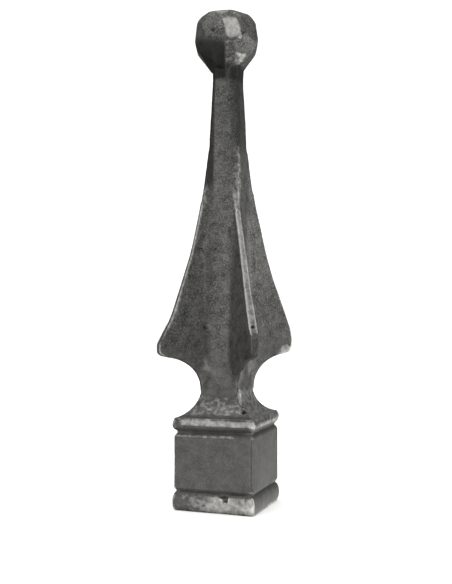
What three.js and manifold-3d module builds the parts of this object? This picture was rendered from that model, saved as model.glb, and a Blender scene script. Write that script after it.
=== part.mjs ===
// Fence spear point: the cast-iron head of a square railing post, made as one casting.
// A square collar between two half-round beads carries a round scoop up to a narrow waist. Four fins over
// the collar's corners flare to noses above the waist and taper up into a square neck, and a hammered
// ball with a flat top ends it.
// Millimetres, +Z up. The origin is the middle of the underside, and the collar's sides face X and Y.

import * as THREE from 'three';
import { mergeVertices } from 'three/addons/utils/BufferGeometryUtils.js';
import Module from 'manifold-3d';

// Collar: the block between its two grooves, and the beads below and above them
const BLOCK_SIDE = 30;
const BLOCK_BOTTOM = 7.6;
const BLOCK_TOP = 27.8;
const BLOCK_EDGE_CUT = 0.6;
const BEAD_SIDE = 31.2;
const GROOVE_SIDE = 28.2;
const BOTTOM_BEAD = { middle: 3.2, radius: 3.695, from: -60, to: 80, steps: 8 };
const TOP_BEAD = { middle: 31.5, radius: 2.2, from: -80, to: 50, steps: 7 };
const COLLAR_CORNER_CUT = 0.4;

// Scoop: an arc from the top bead, in to the waist and out again to the underside of the fins.
// A reach is the distance of a corner or of a fin's edge from the middle.
const WAIST_HEIGHT = 44;
const WAIST_SIDE = 15;
const WAIST_REACH = 10.5;
const SCOOP_DROP = 10.3;
const SCOOP_FULLNESS = 1.15;
const SCOOP_START_TURN = -84;
const SCOOP_STEPS = 7;
const UNDERSIDE_END_REACH = 25;
const UNDERSIDE_END_TURN = 85;
const UNDERSIDE_STEPS = 10;

// Core column between the fins: its side, by height. It leans a little to +X on its way up.
const SHAFT_TOP = 166;
const SHAFT_LEAN = 0.4;
const CORE_CORNER_CUT = 0.9;
const CORE_SIDES = [
  [WAIST_HEIGHT, WAIST_SIDE],
  [57, 13.6],
  [100, 13.2],
  [115, 13.0],
  [128, 12.4],
  [138, 11.4],
  [146, 10.7],
  [158, 9.9],
  [SHAFT_TOP, 10.6],
];

// Fins, in the order right, back, left and front. The underside of each rises from the waist by rise to its
// nose, which stands nearly upright at the greatest reach, and above it the edge sweeps in and dies into the
// corner of the core at finTop. A greater power hollows the sweep more. The casting isn't quite even: the
// front fin is turned a few degrees and starts lower on the shaft than the others.
const FINS = [
  { rise: 12.1, nose: 27.2, noseBottom: 58.2, noseTop: 63.0, finTop: 131, power: 1.54, turn: 0 },
  { rise: 11.7, nose: 27.5, noseBottom: 57.5, noseTop: 61.5, finTop: 131, power: 1.65, turn: 0 },
  { rise: 11.4, nose: 27.9, noseBottom: 56.9, noseTop: 60.2, finTop: 131, power: 1.82, turn: 0 },
  { rise: 11.3, nose: 27.6, noseBottom: 56.9, noseTop: 62.5, finTop: 120, power: 1.35, turn: -4 },
];
const NOSE_END = 65;
const SWEEP_END = 130;
const TURN_FADE = 15;
const UNDERSIDE_END_STEPS = 6;
const NOSE_STEPS = 5;
const SWEEP_STEPS = 16;
const NECK_STEPS = 8;
const FIN_EDGE_THICKNESS = 2.8;
const FIN_DRAFT_ANGLE = 4;
const FIN_EDGE_SOFTNESS = 0.9;
const FIN_ROOT_SOFTNESS = 2.8;
const NOSE_SOFTNESS = 1.2;

// Ball: a sphere with a flat top, flattened all round by rows of hammer facets
const BALL_RADIUS = 12.6;
const BALL_HEIGHT = 172.3;
const BALL_TOP = 181.6;
const BALL_SHIFT = -0.3;
const BALL_SEGMENTS = 28;
const BALL_RINGS = 16;
const FACET_ROWS = [
  { elevation: 40, count: 7, start: 10, depth: 0.4 },
  { elevation: 3, count: 9, start: 0, depth: 1.3 },
  { elevation: -35, count: 7, start: 25, depth: 1.2 },
];

// Chip in the upper edge of the bottom bead, on the side that faces -Y
const CHIP_PLACE = [4.8, -14.9, 5.8];
const CHIP_RADIUS = 4.4;
const CHIP_DROP = 3.6;

// Points round one level, and where those next to a corner's edge and root stand, as shares of its angles
const RING_POINTS = 48;
const POINTS_PER_CORNER = RING_POINTS / 4;
const BEFORE_EDGE = 0.7;
const PAST_EDGE = 1.15;
const BEFORE_ROOT = 0.95;
const LEAST_ROOT = 1.5;
const OCTANT = Math.PI / 4;
const { CubicInterpolant, MathUtils } = THREE;
const DEGREE = MathUtils.DEG2RAD;

// A smooth curve of a size over height, through the given pairs of height and size.
function overHeight(pairs) {
  const heights = pairs.map((pair) => pair[0]);
  const sizes = pairs.map((pair) => pair[1]);
  const curve = new CubicInterpolant(heights, sizes, 1);
  return (height) => curve.evaluate(height)[0];
}

const coreSide = overHeight(CORE_SIDES);

// The lesser of two lengths, rounded off where they are within softness of each other.
function softMin(a, b, softness) {
  const overlap = Math.max(softness - Math.abs(a - b), 0);
  return Math.min(a, b) - (overlap * overlap) / (4 * softness);
}

function softMax(a, b, softness) {
  return -softMin(-a, -b, softness);
}

// One level of the casting: a core square of the given side, with four corners that each have a reach and
// a turn. edge is half of a corner's width at its end: half of a fin's thickness, or of a cut-back corner.
function level(height, side, corners, edge, softness) {
  const lean = SHAFT_LEAN * MathUtils.smoothstep(height, WAIST_HEIGHT, SHAFT_TOP);
  return { height, toSide: side / 2, corners, edge, softness, lean };
}

// A level of the collar, where all corners are cut back alike.
function squareLevel(height, side) {
  const reach = side * Math.SQRT1_2 - COLLAR_CORNER_CUT;
  const corners = FINS.map(() => ({ reach, turn: 0 }));
  return level(height, side, corners, COLLAR_CORNER_CUT, COLLAR_CORNER_CUT);
}

// Angles from the middle of a corner to the middle of a side. They bunch where the outline bends: at the
// rounded end, at its edge and at the root, where the flank meets the core.
function cornerAngles({ toSide, edge }, reach) {
  const toCorner = toSide * Math.SQRT2;
  const rootEdge = edge + Math.tan(FIN_DRAFT_ANGLE * DEGREE) * Math.max(reach - toCorner, 0);
  const edgeAngle = Math.atan(Math.max(edge, toCorner - reach) / reach);
  const rootAngle = Math.max(Math.atan(rootEdge / (toCorner - rootEdge)), LEAST_ROOT * edgeAngle);
  const pastEdge = PAST_EDGE * edgeAngle;
  const beforeRoot = BEFORE_ROOT * rootAngle;
  const midFlank = (pastEdge + beforeRoot) / 2;
  return [0, BEFORE_EDGE * edgeAngle, pastEdge, midFlank, beforeRoot, (rootAngle + OCTANT) / 2, OCTANT];
}

// Distance of the outline from the middle, at an angle from the corner's own diagonal.
function outlineRadius({ toSide, edge, softness }, { reach, turn }, angle) {
  const offFin = Math.abs(angle - turn * DEGREE);
  const draft = Math.tan(FIN_DRAFT_ANGLE * DEGREE);
  const core = toSide / Math.cos(OCTANT - Math.abs(angle));
  const flank = (edge + draft * reach) / (Math.sin(offFin) + draft * Math.cos(offFin));
  const end = reach / Math.cos(offFin);
  return softMin(softMax(core, flank, FIN_ROOT_SOFTNESS), end, softness);
}

// One of the points round a level, as its angle round the casting and its distance from the middle.
function outlinePoint(row, column) {
  const index = Math.floor(column / POINTS_PER_CORNER);
  const place = (column % POINTS_PER_CORNER) - POINTS_PER_CORNER / 2;
  const corner = row.corners[index];
  const spread = cornerAngles(row, corner.reach)[Math.abs(place)];
  const turned = corner.turn * DEGREE * (1 - spread / OCTANT);
  const angle = Math.sign(place) * spread + turned;
  return { angle: (2 * index + 1) * OCTANT + angle, radius: outlineRadius(row, corner, angle) };
}

// Skins the levels: a cylinder with one row of points for each level, moved out to the level's outline.
function loft(levels) {
  const rows = levels.length - 1;
  const geometry = new THREE.CylinderGeometry(1, 1, rows, RING_POINTS, rows);
  geometry.rotateX(Math.PI / 2);
  geometry.translate(0, 0, rows / 2);
  const points = geometry.getAttribute('position');
  for (let i = 0; i < points.count; i += 1) {
    const row = levels[Math.round(points.getZ(i))];
    const around = Math.atan2(points.getY(i), points.getX(i)) / (2 * Math.PI);
    const column = (Math.round(around * RING_POINTS) + RING_POINTS) % RING_POINTS;
    const { angle, radius } = outlinePoint(row, column);
    const onAxis = Math.hypot(points.getX(i), points.getY(i)) < 0.5;
    const out = onAxis ? 0 : radius;
    points.setXYZ(i, out * Math.cos(angle) + row.lean, out * Math.sin(angle), row.height);
  }
  return geometry;
}

// Levels of a half-round bead, whose outline is an arc between two turns from the level of its middle.
function bead({ middle, radius, from, to, steps }) {
  const levels = [];
  for (let step = 0; step <= steps; step += 1) {
    const turn = MathUtils.lerp(from, to, step / steps) * DEGREE;
    const side = MathUtils.lerp(GROOVE_SIDE, BEAD_SIDE, Math.cos(turn));
    levels.push(squareLevel(middle + radius * Math.sin(turn), side));
  }
  return levels;
}

function collar() {
  return [
    ...bead(BOTTOM_BEAD),
    squareLevel(BLOCK_BOTTOM - BLOCK_EDGE_CUT, GROOVE_SIDE),
    squareLevel(BLOCK_BOTTOM, BLOCK_SIDE - BLOCK_EDGE_CUT),
    squareLevel(BLOCK_BOTTOM + BLOCK_EDGE_CUT, BLOCK_SIDE),
    squareLevel(BLOCK_TOP - BLOCK_EDGE_CUT, BLOCK_SIDE),
    squareLevel(BLOCK_TOP, BLOCK_SIDE - BLOCK_EDGE_CUT),
    ...bead(TOP_BEAD),
  ];
}

// The scoop is a square that narrows on an arc from the top bead to the waist, a little fuller than a
// quarter of a circle.
function scoop() {
  const levels = [];
  for (let step = 0; step < SCOOP_STEPS; step += 1) {
    const share = step / SCOOP_STEPS;
    const turn = MathUtils.lerp(SCOOP_START_TURN, 0, share) * DEGREE;
    const side = MathUtils.lerp(BEAD_SIDE, WAIST_SIDE, Math.cos(turn) ** SCOOP_FULLNESS);
    const reach = side * Math.SQRT1_2 - COLLAR_CORNER_CUT * (1 - share);
    const edge = MathUtils.lerp(COLLAR_CORNER_CUT, FIN_EDGE_THICKNESS / 2, share);
    const corners = FINS.map((fin) => ({ reach: reach - edge * share / 2, turn: fin.turn * share }));
    levels.push(level(WAIST_HEIGHT + SCOOP_DROP * Math.sin(turn), side, corners, edge, FIN_EDGE_SOFTNESS));
  }
  return levels;
}

// Reach of a fin at a height above the waist: the arc of its underside, its nose and the sweep above it.
function finReach(fin, height) {
  const share = (height - WAIST_HEIGHT) / fin.rise;
  if (share < 1) {
    return MathUtils.lerp(UNDERSIDE_END_REACH, WAIST_REACH, Math.sqrt(1 - share * share));
  }
  const toCorner = coreSide(height) * Math.SQRT1_2 - CORE_CORNER_CUT;
  const arcEnd = WAIST_HEIGHT + fin.rise;
  const rise = (height - arcEnd) / (fin.noseBottom - arcEnd);
  const underside = MathUtils.lerp(UNDERSIDE_END_REACH, fin.nose, rise);
  const left = Math.max(fin.finTop - height, 0) / (fin.finTop - fin.noseTop);
  const sweep = toCorner + (fin.nose - toCorner) * left ** fin.power;
  return softMin(softMin(underside, sweep, NOSE_SOFTNESS), fin.nose, NOSE_SOFTNESS);
}

// One level above the waist, with all four fins.
function finLevel(height) {
  const corners = FINS.map((fin) => {
    const fade = 1 - MathUtils.smoothstep(height, fin.finTop - TURN_FADE, fin.finTop + TURN_FADE);
    return { reach: finReach(fin, height), turn: fin.turn * fade };
  });
  return level(height, coreSide(height), corners, FIN_EDGE_THICKNESS / 2, FIN_EDGE_SOFTNESS);
}

// The heights above the waist lie closest where the outline bends most: at the ends of the undersides and
// over the noses.
function fins() {
  const lowestRise = Math.min(...FINS.map((fin) => fin.rise));
  const levels = [];
  for (let step = 0; step <= UNDERSIDE_STEPS; step += 1) {
    const turn = (UNDERSIDE_END_TURN * DEGREE * step) / UNDERSIDE_STEPS;
    levels.push(finLevel(WAIST_HEIGHT + lowestRise * Math.sin(turn)));
  }
  const add = (to, steps) => {
    const from = levels[levels.length - 1].height;
    for (let step = 1; step <= steps; step += 1) {
      levels.push(finLevel(MathUtils.lerp(from, to, step / steps)));
    }
  };
  add(FINS[0].noseBottom, UNDERSIDE_END_STEPS);
  add(NOSE_END, NOSE_STEPS);
  add(SWEEP_END, SWEEP_STEPS);
  add(SHAFT_TOP, NECK_STEPS);
  return levels;
}

const wasm = await Module();
wasm.setup();

function toSolid(geometry) {
  const bare = geometry.clone();
  bare.deleteAttribute('normal');
  bare.deleteAttribute('uv');
  const merged = mergeVertices(bare, 1e-4);
  return new wasm.Manifold(new wasm.Mesh({
    numProp: 3,
    vertProperties: new Float32Array(merged.getAttribute('position').array),
    triVerts: new Uint32Array(merged.getIndex().array),
  }));
}

function toGeometry(solid) {
  const mesh = solid.getMesh();
  const geometry = new THREE.BufferGeometry();
  geometry.setAttribute('position', new THREE.BufferAttribute(mesh.vertProperties, 3));
  geometry.setIndex(new THREE.BufferAttribute(mesh.triVerts, 1));
  geometry.computeVertexNormals();
  return geometry;
}

// A box whose near face cuts the ball at the given distance from its middle, square to a direction.
function hammerCut(azimuth, elevation, distance) {
  const size = 4 * BALL_RADIUS;
  const box = new THREE.BoxGeometry(size, size, size);
  box.translate(0, 0, distance + size / 2);
  box.rotateY((90 - elevation) * DEGREE);
  box.rotateZ(azimuth * DEGREE);
  box.translate(BALL_SHIFT, 0, BALL_HEIGHT);
  return toSolid(box);
}

function ball() {
  const sphere = new THREE.SphereGeometry(BALL_RADIUS, BALL_SEGMENTS, BALL_RINGS);
  sphere.rotateX(Math.PI / 2);
  sphere.translate(BALL_SHIFT, 0, BALL_HEIGHT);
  let solid = toSolid(sphere);
  for (const row of FACET_ROWS) {
    for (let i = 0; i < row.count; i += 1) {
      const azimuth = row.start + (i * 360) / row.count;
      solid = solid.subtract(hammerCut(azimuth, row.elevation, BALL_RADIUS - row.depth));
    }
  }
  return solid.subtract(hammerCut(0, 90, BALL_TOP - BALL_HEIGHT));
}

// A three-sided notch that stands on its point, is widest at the groove and has one flat side inwards.
function chip() {
  const notch = new THREE.ConeGeometry(CHIP_RADIUS, CHIP_DROP, 3);
  notch.rotateY(Math.PI);
  notch.rotateX(-Math.PI / 2);
  notch.translate(...CHIP_PLACE);
  return toSolid(notch);
}

function castIron() {
  return new THREE.MeshStandardMaterial({ color: 0x6e6d68, roughness: 0.6, metalness: 0.9 });
}

const shaft = toSolid(loft([...collar(), ...scoop(), ...fins()]));
const casting = shaft.add(ball()).subtract(chip());

const spearPoint = new THREE.Mesh(toGeometry(casting), castIron());
spearPoint.name = 'spear_point';

const group = new THREE.Group();
group.add(spearPoint);

export default group;
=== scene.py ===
# %% [markdown]
# # A fence spear point in raw cast iron
# The real object is the head of a square railing post: one sand casting of grey iron, 181 mm tall. A square
# collar, a narrow waist, four fins that sweep up into a neck, and a hammered ball on top.
# It could be drawn as one outline turned round, but nothing on it is round except the ball. So each part
# is modelled as its pattern maker would cut it, and the parts are then fused into one casting.

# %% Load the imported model
import math

import bmesh
import bpy
import numpy
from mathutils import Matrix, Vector


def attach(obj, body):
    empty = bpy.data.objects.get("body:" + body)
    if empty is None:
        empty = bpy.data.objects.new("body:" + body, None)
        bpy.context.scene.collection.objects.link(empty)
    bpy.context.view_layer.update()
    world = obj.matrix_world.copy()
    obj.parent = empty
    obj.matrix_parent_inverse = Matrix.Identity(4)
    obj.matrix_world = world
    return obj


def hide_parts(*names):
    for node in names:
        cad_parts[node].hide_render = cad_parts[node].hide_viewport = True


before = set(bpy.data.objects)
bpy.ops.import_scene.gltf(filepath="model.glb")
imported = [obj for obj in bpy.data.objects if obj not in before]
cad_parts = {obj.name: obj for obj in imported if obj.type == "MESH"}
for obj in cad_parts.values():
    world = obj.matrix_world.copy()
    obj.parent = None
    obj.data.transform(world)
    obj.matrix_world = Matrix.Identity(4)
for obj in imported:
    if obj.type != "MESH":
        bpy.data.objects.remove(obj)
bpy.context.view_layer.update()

MM = 0.001

# %% [markdown]
# ## The camera
# The photograph looks at the collar from 20 degrees to the right of its -Y side, a little above the ground
# and quite close, so the collar is seen from above and the ball from below. The camera is kept level and its
# shift frames the object, because a tilted camera would make the upright sides lean together.

# %% Camera
VIEW_TURN = math.radians(20.2)
VIEW_DISTANCE = 316 * MM
EYE_HEIGHT = 70.5 * MM
LENS = 52.4
SHIFT_RIGHT = -0.0022
SHIFT_UP = 0.0394
NEAREST_SEEN = 10 * MM

camera_data = bpy.data.cameras.new("camera")
camera_data.lens = LENS
camera_data.shift_x = SHIFT_RIGHT
camera_data.shift_y = SHIFT_UP
camera_data.clip_start = NEAREST_SEEN
camera = bpy.data.objects.new("camera", camera_data)
camera.location = (VIEW_DISTANCE * math.sin(VIEW_TURN), -VIEW_DISTANCE * math.cos(VIEW_TURN), EYE_HEIGHT)
camera.rotation_euler = (math.pi / 2, 0, VIEW_TURN)
bpy.context.scene.collection.objects.link(camera)
bpy.context.scene.camera = camera
print("camera at", [round(x / MM, 1) for x in camera.location], "mm")

# %% [markdown]
# ## Working by hand in code
# Every operator acts on what is selected, so each step starts with nothing selected. These helpers stand
# for what the hand does: leave edit mode and let go of everything, pick faces, edges or points by where they
# are, and close a mesh when it is done. All sizes and places are in millimetres until MM turns them to metres.

# %% Selection helpers
FACING = 0.9
SAME = 0.01


def let_go():
    """Leaves edit mode and deselects everything."""
    if bpy.context.mode != "OBJECT":
        bpy.ops.object.mode_set(mode="OBJECT")
    bpy.ops.object.select_all(action="DESELECT")


def pick(piece, kind, wanted):
    """In edit mode, selects only the faces, edges or points that the test wants, and counts them."""
    bpy.ops.mesh.select_mode(type=kind)
    bpy.ops.mesh.select_all(action="DESELECT")
    mesh = bmesh.from_edit_mesh(piece.data)
    choice = {"VERT": mesh.verts, "EDGE": mesh.edges, "FACE": mesh.faces}[kind]
    found = [part for part in choice if wanted(part)]
    for part in found:
        part.select_set(True)
    bmesh.update_edit_mesh(piece.data)
    return len(found)


def looks_up(face):
    return face.normal.z > FACING


def upright(edge):
    return abs(edge.verts[0].co.z - edge.verts[1].co.z) > SAME * MM


def finish_mesh(piece):
    """Closes seams, turns all faces outwards and puts the place of the piece into its mesh."""
    if bpy.context.mode != "EDIT_MESH":
        bpy.ops.object.mode_set(mode="EDIT")
    bpy.ops.mesh.select_all(action="SELECT")
    bpy.ops.mesh.remove_doubles(threshold=SAME * MM)
    bpy.ops.mesh.normals_make_consistent(inside=False)
    bpy.ops.object.mode_set(mode="OBJECT")
    bpy.ops.object.transform_apply(location=True, rotation=True, scale=True)


print("heights within", SAME, "mm count as the same")

# %% [markdown]
# ## The stack: collar, scoop and shaft
# From the foot up, the casting is a square that changes size: a half-round bead, the plain block between two
# grooves, a second bead, the scoop that arcs in to the waist, and the core that thins towards the neck. A
# spin would make it round, so the top face of a thin foot is extruded and resized from level to level.

# %% Levels of the collar
BLOCK_SIDE = 30
BLOCK_BOTTOM = 7.6
BLOCK_TOP = 27.8
BLOCK_EDGE_CUT = 0.6
GROOVE_RISE = 0.5
BEAD_SIDE = 31.2
GROOVE_SIDE = 28.2
COLLAR_CORNER = 0.35

# Each bead: the height of its middle, its radius, the turns in degrees at which its arc starts and ends,
# and the number of steps between them
BOTTOM_BEAD = (3.2, 3.7, -60, 80, 8)
TOP_BEAD = (31.5, 2.2, -80, 50, 7)


def lerp(a, b, share):
    """The value that lies a share of the way from a to b."""
    return a + (b - a) * share


def bead(middle, radius, first, last, steps):
    """Heights and sides of a half-round bead."""
    levels = []
    for step in range(steps + 1):
        turn = math.radians(lerp(first, last, step / steps))
        levels.append((middle + radius * math.sin(turn), lerp(GROOVE_SIDE, BEAD_SIDE, math.cos(turn))))
    return levels


block = [
    (BLOCK_BOTTOM - BLOCK_EDGE_CUT, GROOVE_SIDE),
    (BLOCK_BOTTOM, BLOCK_SIDE - BLOCK_EDGE_CUT),
    (BLOCK_BOTTOM + BLOCK_EDGE_CUT, BLOCK_SIDE),
    (BLOCK_TOP - BLOCK_EDGE_CUT, BLOCK_SIDE),
    (BLOCK_TOP, BLOCK_SIDE - BLOCK_EDGE_CUT),
    (BLOCK_TOP + GROOVE_RISE, GROOVE_SIDE),
]
collar = bead(*BOTTOM_BEAD) + block + bead(*TOP_BEAD)
print("collar:", len(collar), "levels up to", round(collar[-1][0], 1), "mm")

# %% Levels of the scoop and the shaft
WAIST_HEIGHT = 44
WAIST_SIDE = 15.0
SCOOP_DROP = 10.3
SCOOP_FULLNESS = 1.15
SCOOP_START = -84
SCOOP_STEP = 7
SHAFT_TOP = 166
SHAFT_LEAN = 0.4

# The scoop is an arc in steps of some degrees, from the top bead up to the waist
scoop = []
for degrees in range(SCOOP_START, 0, SCOOP_STEP):
    turn = math.radians(degrees)
    side = lerp(BEAD_SIDE, WAIST_SIDE, math.cos(turn) ** SCOOP_FULLNESS)
    scoop.append((WAIST_HEIGHT + SCOOP_DROP * math.sin(turn), side))

# Height and side of the core, from the waist to inside the ball
shaft = [(WAIST_HEIGHT, WAIST_SIDE), (50, 14.2), (57, 13.6), (80, 13.4), (100, 13.2), (115, 13.1), (128, 12.5),
         (134, 11.9), (138, 11.5), (142, 11.3), (146, 10.8), (150, 10.5), (155, 10.0), (158, 9.9), (162, 10.2),
         (SHAFT_TOP, 11)]


def axis_at(height, points=0):
    """Where the shaft's axis is at a height, for a piece modelled along +X and then turned by some degrees.
    The shaft leans a little to +X between the waist and the ball."""
    share = min(max((height - WAIST_HEIGHT) / (SHAFT_TOP - WAIST_HEIGHT), 0), 1)
    shift = SHAFT_LEAN * share * share * (3 - 2 * share)
    turn = math.radians(points)
    return Vector((shift * math.cos(turn), -shift * math.sin(turn), height)) * MM


print("scoop:", len(scoop), "levels, shaft:", len(shaft), "levels")

# %% Extrude the stack
FOOT_THICKNESS = 0.2


def start_slice(name, top, thickness, length, width, middle=0):
    """Adds a flat box whose top is at a height, and leaves it in edit mode."""
    let_go()
    bpy.ops.mesh.primitive_cube_add(size=1, location=(middle * MM, 0, (top - thickness / 2) * MM),
                                    scale=(length * MM, width * MM, thickness * MM))
    piece = bpy.context.active_object
    piece.name = name
    bpy.ops.object.transform_apply(location=True, rotation=True, scale=True)
    bpy.ops.object.mode_set(mode="EDIT")
    return piece


def raise_top(piece, levels, points=0, along=False):
    """Extrudes the top face from level to level and resizes it to the size of each, or along X only."""
    pick(piece, "FACE", looks_up)
    for (low, size), (high, new_size) in zip(levels, levels[1:]):
        axis = axis_at(high, points)
        ratio = new_size / size
        bpy.ops.mesh.extrude_region_move(TRANSFORM_OT_translate={"value": axis - axis_at(low, points)})
        bpy.ops.transform.resize(value=(ratio, 1 if along else ratio, 1), center_override=axis)


levels = collar + scoop + shaft
foot_side = levels[0][1]
stack = start_slice("stack", FOOT_THICKNESS, FOOT_THICKNESS, foot_side, foot_side)
raise_top(stack, [(FOOT_THICKNESS, foot_side)] + levels[1:])
print("stack:", len(levels), "levels")

# %% Round the stack's upright corners
NECK_CORNER = 2.4


def above_waist(edge):
    return min(vertex.co.z for vertex in edge.verts) > (WAIST_HEIGHT - SAME) * MM


count = pick(stack, "EDGE", lambda edge: upright(edge) and above_waist(edge))
bpy.ops.mesh.bevel(offset=NECK_CORNER * MM, segments=4, affect="EDGES", clamp_overlap=True)
count += pick(stack, "EDGE", lambda edge: upright(edge) and not above_waist(edge))
bpy.ops.mesh.bevel(offset=COLLAR_CORNER * MM, segments=2, affect="EDGES", clamp_overlap=True)
finish_mesh(stack)
print("stack:", len(stack.data.polygons), "faces,", count, "corner edges rounded")

# %% Tilt the upper bead
# The top bead and its groove slope up by a millimetre from corner to corner, towards +X and +Y. Each level
# there is tilted by a little under one degree, and the tilt fades out up the scoop.
TILT = 0.85
TILT_FROM = 26
TILT_TO = 42
SAME_LEVEL = 0.002
tilts = [(TILT_FROM, 0), (27.5, TILT), (34, TILT), (40, 0)]


def over_height(pairs, height):
    """A size at a height, on straight lines between pairs of height and size."""
    for (low, a), (high, b) in zip(pairs, pairs[1:]):
        if height <= high:
            return lerp(a, b, max(height - low, 0) / (high - low))
    return pairs[-1][1]


def heights_of(vertices):
    """The heights in mm at which there are points, from low to high."""
    return sorted({round(vertex.co.z / MM, 3) for vertex in vertices})


let_go()
stack.select_set(True)
bpy.context.view_layer.objects.active = stack
bpy.ops.object.mode_set(mode="EDIT")
tilted = [height for height in heights_of(stack.data.vertices) if TILT_FROM < height < TILT_TO]
for height in tilted:
    pick(stack, "VERT", lambda vertex: abs(vertex.co.z / MM - height) < SAME_LEVEL)
    tilt = math.radians(over_height(tilts, height))
    bpy.ops.transform.rotate(value=-tilt, orient_axis="X", center_override=axis_at(height))
    bpy.ops.transform.rotate(value=tilt, orient_axis="Y", center_override=axis_at(height))
bpy.ops.object.mode_set(mode="OBJECT")
print("levels tilted:", len(tilted))

# %% [markdown]
# ## The fins
# Over each corner of the collar stands a fin: its underside carries the scoop on outwards, a nose stands
# nearly upright, and the edge sweeps in again until it dies into the neck. A flat sheet with thickness
# would lack the draft that lets the casting leave the sand. So each fin is a bar that is thick at the axis and
# thin at its edge, extruded upwards and stretched at each level to the fin's reach.

# %% Values of the four fins
WAIST_REACH = 10.8
SCOOP_END_REACH = 25.0
NOSE_SOFTNESS = 1.2

# One line a fin: the way it points in degrees, how high the scoop rises under it, the height where its nose
# begins, its width at the root, and its turn in degrees, because the front one stands askew
FINS = {
    "fin_right": dict(points=45, rise=11.9, nose_bottom=57.9, root=7.5, turn=0),
    "fin_back": dict(points=135, rise=11.7, nose_bottom=57.5, root=7.5, turn=0),
    "fin_left": dict(points=225, rise=11.2, nose_bottom=56.6, root=7.5, turn=0),
    "fin_front": dict(points=315, rise=11.3, nose_bottom=56.9, root=4.6, turn=-4),
}

# The reach of each fin's edge over the height, from the top of the nose to where it dies into the neck
SWEEPS = {
    "fin_right": [(61.5, 26.7), (65, 26.1), (69.5, 24.5), (74, 22.8), (83, 19.1), (92, 16.2), (101, 14.0),
                  (110, 11.6), (119, 9.8), (131, 8.0)],
    "fin_back": [(61, 27.0), (65, 25.6), (69.5, 23.5), (74, 21.9), (83, 18.6), (92, 15.6), (101, 13.5),
                 (110, 11.4), (119, 9.7), (131, 8.0)],
    "fin_left": [(60, 27.4), (65, 24.8), (69.5, 22.3), (74, 20.8), (83, 17.9), (92, 15.0), (101, 12.9),
                 (110, 11.0), (119, 9.4), (131, 7.9)],
    "fin_front": [(62, 27.0), (65.5, 25.4), (80, 19.9), (92, 16.0), (98, 14.0), (104, 11.7), (110, 9.8),
                  (115, 8.3), (119, 7.1), (131, 6.2)],
}


def soft_min(a, b, softness):
    """The smaller of two sizes, with a soft passage where they are nearly the same."""
    overlap = max(softness - abs(a - b), 0)
    return min(a, b) - overlap * overlap / (4 * softness)


def fin_reach(name, height):
    """How far from the axis the outer edge of a fin is at a height, in mm."""
    fin, sweep = FINS[name], SWEEPS[name]
    scoop_end = WAIST_HEIGHT + fin["rise"]
    if height < scoop_end:
        turn = math.asin((height - WAIST_HEIGHT) / fin["rise"])
        return lerp(SCOOP_END_REACH, WAIST_REACH, math.cos(turn))
    rise = (height - scoop_end) / (fin["nose_bottom"] - scoop_end)
    return soft_min(lerp(SCOOP_END_REACH, sweep[0][1], rise), over_height(sweep, height), NOSE_SOFTNESS)


print("front fin's reach at 60 mm:", round(fin_reach("fin_front", 60), 1), "mm")

# %% Levels of a fin
UNDER_STEP = 9
NOSE_TOP = 65
NOSE_STEPS = 15
SWEEP_STEPS = 20


def fin_levels(name):
    """Height and reach of each level, from the waist to where the fin dies out. They are closest on the nose."""
    rise, top = FINS[name]["rise"], SWEEPS[name][-1][0]
    under = [WAIST_HEIGHT + rise * math.sin(math.radians(degrees)) for degrees in range(0, 90, UNDER_STEP)]
    nose = [lerp(under[-1], NOSE_TOP, step / NOSE_STEPS) for step in range(1, NOSE_STEPS + 1)]
    sweep = [lerp(NOSE_TOP, top, step / SWEEP_STEPS) for step in range(1, SWEEP_STEPS + 1)]
    return [(height, fin_reach(name, height)) for height in under + nose + sweep]


print("levels of a fin:", len(fin_levels("fin_front")))

# %% Model the fins
FIRST_SLICE = 1
ROOT_END = 5
EDGE_WIDTH = 2.4
EDGE_ROUNDING = 0.3

# The width of a fin's edge over the height: thin at the waist, widest on the nose
EDGE_WIDTHS = [(43, 1.4), (49, 2.2), (56, 3.1), (70, 2.8), (82, EDGE_WIDTH), (98, 1.9), (131, 1.9)]


def model_fin(name, fin):
    """A bar along +X, thick at the axis and thin at its edge, raised to the fin's reach at each level."""
    levels = fin_levels(name)
    low, reach = levels[0]
    piece = start_slice(name, low, FIRST_SLICE, reach, fin["root"], middle=reach / 2)
    pick(piece, "FACE", lambda face: face.normal.x > FACING)
    bpy.ops.transform.resize(value=(1, EDGE_WIDTH / fin["root"], 1), center_override=(0, 0, low * MM))
    raise_top(piece, levels, points=fin["points"], along=True)
    return piece


def clear_of_root(edge):
    return min(vertex.co.x for vertex in edge.verts) > ROOT_END * MM


def widen_edge(piece, points):
    """Gives the edge of a fin its width, level by level."""
    for height in heights_of(bmesh.from_edit_mesh(piece.data).verts):
        ratio = over_height(EDGE_WIDTHS, height) / EDGE_WIDTH
        if ratio != 1:
            pick(piece, "EDGE", lambda edge: clear_of_root(edge) and all(
                abs(vertex.co.z / MM - height) < SAME for vertex in edge.verts))
            bpy.ops.transform.resize(value=(1, ratio, 1), center_override=axis_at(height, points))


fins = []
for name, fin in FINS.items():
    piece = model_fin(name, fin)
    widen_edge(piece, fin["points"])
    ends = pick(piece, "EDGE", lambda edge: upright(edge) and clear_of_root(edge))
    bpy.ops.mesh.bevel(offset=EDGE_ROUNDING * MM, segments=2, affect="EDGES", clamp_overlap=True)
    finish_mesh(piece)
    piece.rotation_euler = (0, 0, math.radians(fin["points"] + fin["turn"]))
    bpy.ops.object.transform_apply(location=True, rotation=True, scale=True)
    fins.append(piece)
    print(name, len(piece.data.polygons), "faces,", ends, "edge lines softened")

# %% [markdown]
# ## The hollows between the fins
# The fins don't stand on the core with a sharp root: broad hollows run from flank to flank, and at their top
# they fade out on the flat faces of the neck. A bevel can't make a fillet as wide as that. So a square bar
# fills the corners between core and fins, and four upright cylinders are pressed into its sides.

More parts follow.
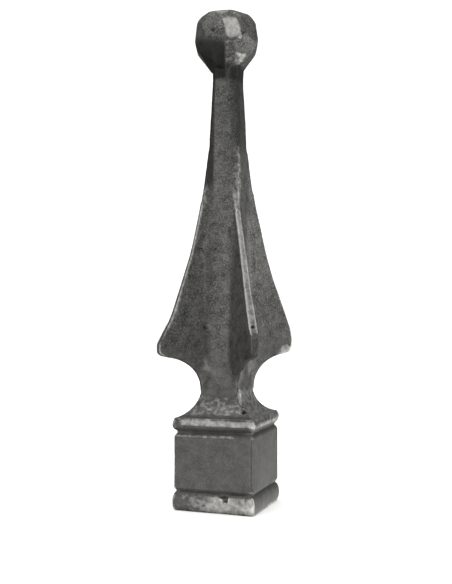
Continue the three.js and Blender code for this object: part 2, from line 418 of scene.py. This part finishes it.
# %% The bar
# Height and side of the bar
BAR = [(45.5, 13.6), (48, 14.8), (51, 16.8), (54, 18.2), (93, 18.2), (98, 17.4), (104, 15.6), (110, 13.6),
       (116, 12.4), (131, 10.5)]

bar_bottom, bar_side = BAR[0]
bar = start_slice("bar", bar_bottom, FIRST_SLICE, bar_side, bar_side)
raise_top(bar, BAR)
finish_mesh(bar)
print("bar:", len(BAR), "levels up to", BAR[-1][0], "mm")

# %% Press the hollows
HOLLOW_RADIUS = 8.2
HOLLOW_AWAY = 15.1
HOLLOW_MIDDLE = 90
HOLLOW_LENGTH = 120

# The way each hollow faces in degrees, and how far it is moved towards +X
HOLLOW_SIDES = [(-90, 0.6), (0, 0), (90, 0), (180, 0)]


def cut_out(piece, cutter):
    """Takes the cutter's shape out of a piece, by a boolean that is applied at once."""
    let_go()
    piece.select_set(True)
    bpy.context.view_layer.objects.active = piece
    cut = piece.modifiers.new("cut", "BOOLEAN")
    cut.operation = "DIFFERENCE"
    cut.solver = "EXACT"
    cut.object = cutter
    bpy.ops.object.modifier_apply(modifier=cut.name)
    bpy.data.objects.remove(cutter)


for degrees, sideways in HOLLOW_SIDES:
    turn = math.radians(degrees)
    let_go()
    bpy.ops.mesh.primitive_cylinder_add(
        vertices=96, radius=HOLLOW_RADIUS * MM, depth=HOLLOW_LENGTH * MM,
        location=((HOLLOW_AWAY * math.cos(turn) + sideways) * MM, HOLLOW_AWAY * math.sin(turn) * MM,
                  HOLLOW_MIDDLE * MM))
    cut_out(bar, bpy.context.active_object)
print("bar:", len(bar.data.polygons), "faces")

# %% [markdown]
# ## The ball
# The ball on top isn't turned but hammered: flat facets meet in soft ridges, and its top is flat. A sphere is
# cut by one plane for each hammer blow, which gives the true outline of such a ball from every side.

# %% Hammer the ball
BALL_RADIUS = 12.8
BALL_HEIGHT = 172.3
BALL_TOP = 181.0
BALL_SHIFT = -0.3

# Each blow: the way it points in degrees, from the -Y side towards +X and upwards, and how deep it cuts, in mm.
# The blows are deepest round the middle, which leaves the shoulder below the flat top full.
BLOWS = [
    (29, 13, 1.6), (-7, 16, 1.4), (-12, -26, 1.6), (-44, 0, 1.4), (-42, 34, 0.6), (30, -42, 1.2), (58, -26, 1.5),
    (62, -60, 0.6), (-44, -52, 1.1), (69, 12, 1.4), (62, 42, 0.8), (8, 44, 0.5), (110, 8, 1.4), (110, -14, 1.3),
    (106, -36, 1.5), (108, 40, 0.9), (-72, 7, 1.4), (-70, -15, 1.3), (-74, -36, 1.5), (-78, 40, 0.5),
    (146, 8, 1.5), (180, -4, 1.6), (214, 10, 1.5), (250, 0, 1.5), (140, -34, 1.4), (176, -38, 1.5),
    (212, -34, 1.4), (250, -38, 1.4), (150, 40, 0.5), (190, 44, 0.5), (230, 40, 0.5),
]
flat_top = (0, 90, BALL_RADIUS - BALL_TOP + BALL_HEIGHT)

let_go()
bpy.ops.mesh.primitive_uv_sphere_add(
    segments=64, ring_count=32, radius=BALL_RADIUS * MM, location=(BALL_SHIFT * MM, 0, BALL_HEIGHT * MM))
ball = bpy.context.active_object
ball.name = "ball"
bpy.ops.object.transform_apply(location=True, rotation=True, scale=True)
bpy.ops.object.mode_set(mode="EDIT")
ball_middle = Vector((BALL_SHIFT, 0, BALL_HEIGHT)) * MM
for degrees, degrees_up, depth in BLOWS + [flat_top]:
    turn, rise = math.radians(degrees - 90), math.radians(degrees_up)
    blow = Vector((math.cos(rise) * math.cos(turn), math.cos(rise) * math.sin(turn), math.sin(rise)))
    bpy.ops.mesh.select_all(action="SELECT")
    bpy.ops.mesh.bisect(plane_co=ball_middle + blow * (BALL_RADIUS - depth) * MM, plane_no=blow,
                        use_fill=True, clear_outer=True)
finish_mesh(ball)
print("ball:", len(ball.data.polygons), "faces, across", [round(x / MM, 1) for x in ball.dimensions], "mm")

# %% [markdown]
# ## Worn corner, chip and pits
# The near corner of the neck is worn in a long, shallow curve. The bottom bead has lost a three-sided chip, and
# gas has left a few small pits in the skin. All of these are cut out of the solid pieces before they are fused,
# so that they are real hollows which catch no light. The pits also get painted shade later.

# %% Cut the worn corner
WORN_REACH = 7.2
WORN_TURN = math.radians(305)
WORN_HEIGHT = 118
WORN_SWEEP = 100
WORN_WIDTH = 30

let_go()
away = (WORN_REACH + WORN_SWEEP) * MM
bpy.ops.mesh.primitive_cylinder_add(
    vertices=256, radius=WORN_SWEEP * MM, depth=WORN_WIDTH * MM, rotation=(math.pi / 2, 0, WORN_TURN),
    location=(away * math.cos(WORN_TURN), away * math.sin(WORN_TURN), WORN_HEIGHT * MM))
cut_out(stack, bpy.context.active_object)
print("stack:", len(stack.data.polygons), "faces with the worn corner")

# %% Chip, gas pits and casting marks
# Each one: the pieces it is in, its place, how wide, deep and high it is, in mm, and the way it faces in
# degrees. Three of them make the chip together.
fin_right, _, fin_left, fin_front = fins
CHIP = [
    ((stack,), (4.3, -15.3, 6.1), (4.0, 2.2, 2.2), 266),
    ((stack,), (4.9, -15.7, 4.9), (2.2, 2.0, 2.6), 276),
    ((stack,), (2.8, -15.3, 6.3), (2.2, 1.5, 1.4), 262),
]
PITS = [
    ((ball,), (-1.5, -11.5, 173.0), (1.4, 1.6, 1.7), 268),
    ((ball,), (0.8, -11.5, 171.9), (1.4, 1.6, 1.3), 274),
    ((ball,), (2.2, -11.3, 170.7), (1.1, 1.4, 1.2), 280),
    ((fin_front,), (16.2, -18.9, 66.2), (1.3, 1.2, 1.1), 310),
    ((stack,), (10.4, -10.8, 35.6), (1.6, 1.6, 1.8), 290),
    ((bar, fin_left), (-5.2, -8.9, 66.0), (1.3, 1.4, 1.3), 300),
]
MARKS = [
    ((bar, fin_left), (-6.6, -8.8, 94.8), (4.0, 0.8, 0.8), 315),
    ((bar, fin_right), (11.4, 8.4, 84.2), (4.4, 0.7, 0.6), 315),
]
for pieces, spot, size, faces in CHIP + PITS + MARKS:
    for piece in pieces:
        let_go()
        bpy.ops.mesh.primitive_ico_sphere_add(subdivisions=2, radius=0.5 * MM, location=[x * MM for x in spot],
                                              scale=size, rotation=(0, 0, math.radians(faces + 90)))
        cut_out(piece, bpy.context.active_object)
print("hollows cut:", len(CHIP + PITS + MARKS))

# %% [markdown]
# ## One casting
# Seven pieces that overlap aren't one casting yet. A voxel remesh fuses them and leaves the small fillets that
# iron keeps where it ran between two forms. Smoothing takes the steps of the voxels away.

# %% Fuse the pieces
VOXEL = 0.34 * MM


def apply_modifier(piece, kind, **settings):
    """Adds a modifier with its settings and applies it, as Ctrl+A does in the modifier's menu."""
    modifier = piece.modifiers.new(kind.lower(), kind)
    for setting, value in settings.items():
        setattr(modifier, setting, value)
    bpy.ops.object.modifier_apply(modifier=modifier.name)


let_go()
for piece in [stack, bar, ball] + fins:
    piece.select_set(True)
bpy.context.view_layer.objects.active = stack
bpy.ops.object.join()
casting = bpy.context.active_object
casting.name = "casting"
apply_modifier(casting, "REMESH", mode="VOXEL", voxel_size=VOXEL, adaptivity=0)
apply_modifier(casting, "SMOOTH", factor=0.5, iterations=2)
print("casting:", len(casting.data.polygons), "faces")

# %% Soften the roots of the fins and the ridges of the ball
def soften(piece, wanted, repeat):
    """Smooths only the points that the test wants, as the smooth brush does, and says how many there are."""
    bpy.ops.object.mode_set(mode="EDIT")
    count = pick(piece, "VERT", lambda vertex: wanted(vertex.co / MM))
    bpy.ops.mesh.vertices_smooth(factor=0.5, repeat=repeat)
    bpy.ops.object.mode_set(mode="OBJECT")
    return count


def at_root(point):
    """Near the faces of the core and the roots of the fins."""
    return 50 < point.z < 135 and math.hypot(point.x, point.y) < 10.5


def near_waist(point):
    """The corner of the waist between the -Y and +X faces, which is rounder than the others."""
    return 35 < point.z < 54 and point.x > 2 and point.y < -2 and point.x - point.y < 19


def near_block_corner(point):
    """The block's upright edge between the same two faces, which is rubbed round as well."""
    return 8.4 < point.z < 26.8 and point.x - point.y > 25.5


def on_ball(point):
    """The hammered face of the ball, above its joint with the neck."""
    return point.z > 163 and (point - ball_middle / MM).length > 8


print("root points:", soften(casting, at_root, 30))
print("waist points:", soften(casting, near_waist, 90))
print("block points:", soften(casting, near_block_corner, 70))
print("ball points:", soften(casting, on_ball, 5))

# %% Uneven skin
TRIANGLES_WANTED = 190000


def clouds(name, size, depth):
    """A procedural texture whose lumps are about size millimetres across, with finer lumps depth levels down."""
    texture = bpy.data.textures.new(name, "CLOUDS")
    texture.noise_scale = size * MM
    texture.noise_depth = depth
    return texture


mould = clouds("hand-rammed mould", 11, 1)
sand = clouds("sand grain", 0.9, 2)
apply_modifier(casting, "DISPLACE", texture=mould, strength=0.26 * MM, mid_level=0.48)
apply_modifier(casting, "DISPLACE", texture=sand, strength=0.07 * MM, mid_level=0.5)
triangles = 2 * len(casting.data.polygons)
apply_modifier(casting, "DECIMATE", ratio=min(1, TRIANGLES_WANTED / triangles), use_collapse_triangulate=True)
print("skin:", len(casting.data.polygons), "triangles")

# %% Dress the underside flat
bpy.ops.object.mode_set(mode="EDIT")
bpy.ops.mesh.select_all(action="SELECT")
bpy.ops.mesh.bisect(plane_co=(0, 0, 0), plane_no=(0, 0, -1), use_fill=True, clear_outer=True,
                    threshold=0.001 * MM)
finish_mesh(casting)
bpy.ops.object.shade_smooth()
print("lowest point:", round(min(vertex.co.z for vertex in casting.data.vertices) / MM, 3), "mm")

# %% [markdown]
# ## The finish: raw sand-cast grey iron
# The casting is left as it came from the sand, blackened by its heat and oiled. To the eye that is a dark,
# nearly neutral metal with a coarse speckle, darker in the hollows by painted shade, and bare and brighter where
# edges were rubbed. One flat grey would look like plastic, so the colour, roughness and relief all come from
# noise.
# Which places are rubbed, which carry painted highlights and painted shade, and which are sandy or blotchy is
# worked out for each point of the mesh and kept there.

# %% How far each point stands out
SMOOTHING_PASSES = 14


def standing_out(piece, passes):
    """Each point's place and normal, and how far it stands out of the smoothed form around it, in mm. Edges
    stand out and creases lie behind it."""
    mesh = piece.data
    count = len(mesh.vertices)
    places, normals = numpy.empty(count * 3), numpy.empty(count * 3)
    mesh.vertices.foreach_get("co", places)
    mesh.vertices.foreach_get("normal", normals)
    places, normals = places.reshape(-1, 3), normals.reshape(-1, 3)
    ends = numpy.empty(len(mesh.edges) * 2, dtype=int)
    mesh.edges.foreach_get("vertices", ends)
    a, b = ends.reshape(-1, 2).T
    neighbours = numpy.bincount(a, minlength=count) + numpy.bincount(b, minlength=count)
    smooth = places
    for _ in range(passes):
        sums = [numpy.bincount(a, smooth[b, axis], count) + numpy.bincount(b, smooth[a, axis], count)
                for axis in range(3)]
        smooth = numpy.stack([total / neighbours for total in sums], axis=1)
    return places / MM, normals, ((places - smooth) * normals).sum(axis=1) / MM


places, normals, out = standing_out(casting, SMOOTHING_PASSES)
x, y, z = places.T
print("points stand out by up to", round(float(out.max()), 2), "mm")

# %% Shares over the casting
def ramp(values, low, high):
    """0 below low, 1 above high and a soft slope between them."""
    share = numpy.clip((values - low) / (high - low), 0, 1)
    return share * share * (3 - 2 * share)


def between(values, low, high, soft):
    """1 from low to high, with slopes as wide as soft on both sides."""
    return ramp(values, low - soft, low) * ramp(-values, -high - soft, -high)


def past_edge(name):
    """How far out each point lies in the direction of a fin, and how far it is past the fin's edge, in mm."""
    way = math.radians(FINS[name]["points"] + FINS[name]["turn"])
    outwards = x * math.cos(way) + y * math.sin(way)
    heights = numpy.linspace(WAIST_HEIGHT, SWEEPS[name][-1][0], 200)
    return outwards, outwards - numpy.interp(z, heights, [fin_reach(name, height) for height in heights])


edges = ramp(out, 0.08, 0.4) * ramp(-z, -126, -118)
print("rubbed edge points:", int((edges > 0.5).sum()), "of", len(edges))

# %% Rubbed places and painted highlights
# The worn side of the casting is the one with the front fin. Right is how far a point lies to the right of the
# axis, seen from there. Each place is a product of soft ranges in millimetres, times how strongly it is
# brightened. The edges, the fins' edges, the worn corner and the right fin's nose are rubbed bare; the beads and
# the block's top edge are rubbed and carry a painted highlight; the facets and low left rim of the ball carry
# painted highlights, and the scoop's sides painted light.
SEEN_FROM = math.radians(20)

right = x * math.cos(SEEN_FROM) + y * math.sin(SEEN_FROM)
along, past_front = past_edge("fin_front")
_, past_left = past_edge("fin_left")
from_axis = numpy.hypot(x, y)
front_side = ramp(-y, 2, 4)
on_nose = between(z, 56, 63, 2) * ramp(along, 20, 22)
facet_turn = right - 3.3 + 0.26 * (z - 168.6)

rubs_and_highlights = {
    "edges": edges * 0.6 * (1 - on_nose) * (1 - between(z, 34, 54, 2)),
    "edge of the front fin": ramp(past_front, -1.0, -0.45) * between(z, 66, 112, 5) * 0.58,
    "edge of the left fin": ramp(past_left, -2.8, -1.2) * between(z, 68, 116, 6) * 0.36,
    "worn corner": between(z, 116, 131, 4) * ramp(out, -0.05, 0.06) * ramp(x - y, 9, 11) * 0.42,
    # The beads and the block's top edge are rubbed, and also carry a painted highlight where the top light falls
    # on them.
    "bottom bead": (ramp(-y, 14.4, 15.3) * between(z, 0.6, 5.9, 0.6) * between(x, -11, 15, 4)
                    * (0.42 + 0.24 * ramp(x, -9, 1))),
    "top bead": ramp(-y, 14.5, 15.2) * between(z, 31.2, 32.6, 0.6) * between(x, -11, 13, 3) * 0.6,
    "top bead at the right": ramp(x, 14.8, 15.4) * between(z, 30.6, 31.6, 0.5) * 0.3,
    "top edge of the block": ramp(-y, 14.3, 14.8) * between(z, 26.9, 27.7, 0.5) * between(x, -12, 7, 3) * 0.45,
    # Painted highlights on the ball's facets, and a painted rim light low at the left.
    "bright facet": between(facet_turn, -2.3, 2.1, 1.3) * between(z, 171, 176.8, 2.2) * front_side * 0.9,
    "facet low at the right": (between(right, 3.2, 7.5, 1) * between(z, 157, 165, 1.5) * front_side
                               * ramp(from_axis, 6.3, 6.8) * 0.72),
    "facet at the right": between(right, 6.5, 9.5, 1) * between(z, 169, 177, 2) * front_side * 0.3,
    "facet low in the middle": (between(right, -0.7, 2.4, 0.4) * between(z, 160, 168, 1.5) * front_side
                                * ramp(from_axis, 6.3, 6.8) * 0.4),
    "rim low at the left": (ramp(-z - right * 1.18, -152.9, -151.5) * ramp(-right, 4, 6)
                            * between(z, 159, 168, 2) * front_side * 0.6),
    "nose of the right fin": ramp(x, 14, 17) * ramp(y, 12, 15) * between(z, 54, 58, 3) * 0.7,
    # Painted light on the scoop's sides that face +X and -Y.
    "scoop at the right": ramp(normals[:, 0], 0.25, 0.55) * between(z, 34, 42, 5) * 0.52,
    "scoop in front": ramp(-normals[:, 1], 0.3, 0.6) * between(z, 34, 40, 3) * 0.42,
}
rubbed_and_highlit = sum(rubs_and_highlights.values())
print("places rubbed:", len(rubs_and_highlights))

# %% Painted shade
# The low left part of the ball, which gets painted shade.
ball_shade_area = (ramp(-right, 0.6, 1.1) * ramp(-z - 0.25 * right, -170.6, -166.8)
             * ramp(z + right * 1.18, 151.6, 153.4))
painted_shades = {
    # Painted shade in creases and hollows, except in the crease above the top bead.
    "creases": ramp(-out, 0.06, 0.35) * (1 - between(z, 31, 40, 1)),
    # Painted shadow that the ball casts on the top of the neck.
    "joint under the ball": between(z, 158, 162.5, 2.5) * ramp(-from_axis, -6.9, -6.1) * 0.65,
    # Painted shade on the low left of the ball, whose facets face away from the light.
    "ball low at the left": ball_shade_area * between(z, 158, 172, 1) * ramp(-y, 1, 3) * 0.9,
    # Painted shade on the neck's rounded left corner, which turns away from the light.
    "left corner of the neck": ramp(-x, 2.6, 3.3) * between(z, 122, 160, 8) * ramp(-y, 1, 2) * 0.85,
    # Painted shade on the side of the neck that faces +X.
    "right side of the neck": ramp(normals[:, 0], 0.6, 0.9) * between(z, 134, 163, 6) * 0.55,
    # Painted shade that dims the light on the neck's near corner.
    "near corner of the neck": between(z, 134, 160, 8) * ramp(out, 0.0, 0.12) * ramp(x - y, 6, 8) * 0.3,
    # Painted shade, a little, on the nose of the front fin.
    "nose of the front fin": between(z, 56, 64, 2) * ramp(along, 20, 22) * 0.15,
}
painted_shade = numpy.clip(sum(painted_shades.values()), 0, 1)
# Each pit gets painted shade in its hollow, and its rubbed wear and painted highlight are taken away.
for _, spot, size, _ in PITS:
    distance = numpy.hypot(numpy.hypot(x - spot[0], y - spot[1]), z - spot[2])
    pit = ramp(-distance, -0.65 * max(size), -0.45 * max(size))
    rubbed_and_highlit *= 1 - pit
    painted_shade = numpy.maximum(painted_shade, pit * 0.7)
rubbed_and_highlit = numpy.clip(rubbed_and_highlit, 0, 1)
print("sooty places:", len(painted_shades), "and", len(PITS), "pits")

# %% Keep the shares on the points
# The grain shows most on the fins and the neck: the collar is less sandy and less blotchy.
shares = {
    "rubbed_and_highlit": rubbed_and_highlit,
    "painted_shade": painted_shade,
    "sandy": 0.3 + 0.7 * ramp(z, 36, 70) - 0.3 * ramp(x, 6, 10) * between(z, 44, 60, 20),
    "blotchy": 0.45 + 0.55 * ramp(z, 30, 60),
}
for name, values in shares.items():
    attribute = casting.data.attributes.new(name, "FLOAT", "POINT")
    attribute.data.foreach_set("value", values.astype(numpy.float32))
    print(name, "on average:", round(float(values.mean()), 3))

# %% Colours and the node helper
def linear(code):
    """An opaque linear colour from an sRGB hex code such as 6e6d68."""
    parts = [int(code[i:i + 2], 16) / 255 for i in (0, 2, 4)]
    return tuple(c / 12.92 if c <= 0.04045 else ((c + 0.055) / 1.055) ** 2.4 for c in parts) + (1.0,)


def add_node(tree, kind, inputs=None, **settings):
    """Adds a node, gives it its settings, and links or fills its inputs."""
    node = tree.nodes.new(kind)
    for setting, value in settings.items():
        setattr(node, setting, value)
    for name, value in (inputs or {}).items():
        if isinstance(value, bpy.types.NodeSocket):
            tree.links.new(value, node.inputs[name])
        else:
            node.inputs[name].default_value = value
    return node


DARK_IRON = linear("42423f")
LIGHT_IRON = linear("7e7d7a")
SAND_GRAIN = linear("a3a29f")
# The colour of painted shade.
PAINTED_SHADE_COLOUR = linear("373736")
# Bright metal for rubbed wear and for painted highlights.
BARE_METAL_AND_HIGHLIGHT = linear("e0dfda")
print("bare metal, linear:", [round(c, 2) for c in BARE_METAL_AND_HIGHLIGHT[:3]])

# %% Raw sand-cast grey iron
# Foundry sand has grains of 0.2 to 0.4 mm. They are drawn about twice as coarse, or the picture would lose them.
PATCH_SIZE = 3.2
GRAIN_SIZE = 0.55
FLECK_SIZE = 1.6

iron = bpy.data.materials.new("raw_sand_cast_grey_iron")
iron.use_nodes = True
tree = iron.node_tree
tree.nodes.clear()
place = add_node(tree, "ShaderNodeTexCoord").outputs["Object"]


def kept(name):
    """A share that is kept on the points of the casting."""
    return add_node(tree, "ShaderNodeAttribute", attribute_name=name).outputs["Fac"]


def noise(size, detail, roughness=0.5):
    """Noise whose grains are about size millimetres across."""
    return add_node(tree, "ShaderNodeTexNoise", {
        "Vector": place, "Scale": 1 / (size * MM), "Detail": detail, "Roughness": roughness}).outputs["Fac"]


def stretch(value, low, high, first=0.0, last=1.0):
    """Goes from first to last while the value goes from low to high."""
    return add_node(tree, "ShaderNodeMapRange", {
        "Value": value, "From Min": low, "From Max": high, "To Min": first, "To Max": last}).outputs["Result"]


def mix_colours(share, a, b):
    """Goes from colour a to colour b while the share goes from 0 to 1."""
    return add_node(tree, "ShaderNodeMix", {"Factor": share, 6: a, 7: b}, data_type="RGBA").outputs[2]


def calculate(operation, a, b):
    """The sum or product of two values."""
    return add_node(tree, "ShaderNodeMath", {0: a, 1: b}, operation=operation).outputs["Value"]


patches = stretch(noise(PATCH_SIZE, 5.0, 0.65), 0.28, 0.72)
mottle = add_node(tree, "ShaderNodeMix", {"Factor": kept("blotchy"), 2: 0.52, 3: patches}, data_type="FLOAT")
speckle = noise(GRAIN_SIZE, 2.0)
sand_share = kept("sandy")
mottled = mix_colours(mottle.outputs[0], DARK_IRON, LIGHT_IRON)
speckled = mix_colours(stretch(speckle, 0.45, 0.85, 0.0, sand_share), mottled, SAND_GRAIN)
# Painted shade darkens the colour where the points carry it.
with_painted_shade = mix_colours(kept("painted_shade"), speckled, PAINTED_SHADE_COLOUR)
# Rubbed wear and painted highlights bring in bright metal.
bared_and_highlit = stretch(calculate("ADD", noise(FLECK_SIZE, 3.0, 0.6), kept("rubbed_and_highlit")), 0.88, 1.52)
colour = mix_colours(bared_and_highlit, with_painted_shade, BARE_METAL_AND_HIGHLIGHT)
rough = stretch(bared_and_highlit, 0.0, 1.0, 0.52, 0.42)
relief = calculate("MULTIPLY", speckle, sand_share)
bump = add_node(tree, "ShaderNodeBump", {"Height": relief, "Strength": 0.6, "Distance": 0.12 * MM})
shader = add_node(tree, "ShaderNodeBsdfPrincipled", {
    "Base Color": colour, "Roughness": rough, "Normal": bump.outputs["Normal"], "Metallic": 0.9})
add_node(tree, "ShaderNodeOutputMaterial", {"Surface": shader.outputs["BSDF"]})
casting.data.materials.clear()
casting.data.materials.append(iron)
print(iron.name, "has", len(tree.nodes), "nodes")

# %% Hand the casting to the model
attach(casting, "root")
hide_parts("spear_point")
print("the casting stands for spear_point")

# %% [markdown]
# ## Floor and light
# The photograph is lit by large soft sources: one overhead, one low at the right and a weak one at the left. The
# white table throws a little light back up from all sides, and some comes from behind. The ground is bright but
# mustn't light the iron straight from below, so rays from the iron don't see it.

# %% Floor
FLOOR_RADIUS = 6

let_go()
bpy.ops.mesh.primitive_circle_add(vertices=64, radius=FLOOR_RADIUS, fill_type="NGON", location=(0, 0, 0))
floor = bpy.context.active_object
floor.name = "floor"
paper = bpy.data.materials.new("white_paper")
paper.use_nodes = True
paper_shader = paper.node_tree.nodes["Principled BSDF"]
paper_shader.inputs["Base Color"].default_value = linear("f4f4f2")
paper_shader.inputs["Roughness"].default_value = 0.9
floor.data.materials.append(paper)
floor.visible_glossy = False
floor.visible_diffuse = False
floor.visible_shadow = False
print("floor:", FLOOR_RADIUS, "m in radius")

# %% Lights
SOFTBOX_AWAY = 1.0
SOFTBOX_SIZE = 0.55
AIM_HEIGHT = 90 * MM

# Each softbox: its name, the degrees it stands round to the right of the camera and above the floor, and its
# power in watts. Those below the floor stand for the light that the table throws back.
SOFTBOXES = [
    ("overhead", 0, 86, 5.2),
    ("high left", -60, 62, 1.1),
    ("left", -60, 5, 1.3),
    ("right", 90, 5, 1.9),
    ("table at the left", -30, -25, 0.9),
    ("table in front", 0, -25, 1.8),
    ("table at the right", 90, -25, 1.8),
    ("behind", 180, 16, 0.9),
    ("table behind", 150, -25, 1.2),
]
for name, degrees, degrees_up, power in SOFTBOXES:
    data = bpy.data.lights.new(name, "AREA")
    data.shape = "DISK"
    data.size = SOFTBOX_SIZE
    data.energy = power
    softbox = bpy.data.objects.new(name, data)
    softbox.visible_camera = False
    turn, rise = VIEW_TURN + math.radians(degrees), math.radians(degrees_up)
    direction = Vector((math.sin(turn) * math.cos(rise), -math.cos(turn) * math.cos(rise), math.sin(rise)))
    softbox.location = Vector((0, 0, AIM_HEIGHT)) + direction * SOFTBOX_AWAY
    softbox.rotation_euler = direction.to_track_quat("Z", "Y").to_euler()
    bpy.context.scene.collection.objects.link(softbox)
print("softboxes:", len(SOFTBOXES), "with", round(sum(power for *_, power in SOFTBOXES), 1), "W")

# %% White surroundings
# The camera sees them white, and their reflection in the iron is dim.
SEEN_STRENGTH = 1.25
MIRRORED_STRENGTH = 0.2

world = bpy.data.worlds.new("studio")
bpy.context.scene.world = world
world.use_nodes = True
sky = world.node_tree
sky.nodes.clear()
mirrored = add_node(sky, "ShaderNodeLightPath").outputs["Is Glossy Ray"]
strength = add_node(sky, "ShaderNodeMapRange", {
    "Value": mirrored, "To Min": SEEN_STRENGTH, "To Max": MIRRORED_STRENGTH})
white = add_node(sky, "ShaderNodeBackground", {"Color": (1, 1, 1, 1), "Strength": strength.outputs["Result"]})
add_node(sky, "ShaderNodeOutputWorld", {"Surface": white.outputs["Background"]})
bpy.context.scene.view_settings.view_transform = "Standard"
print("world:", world.name)
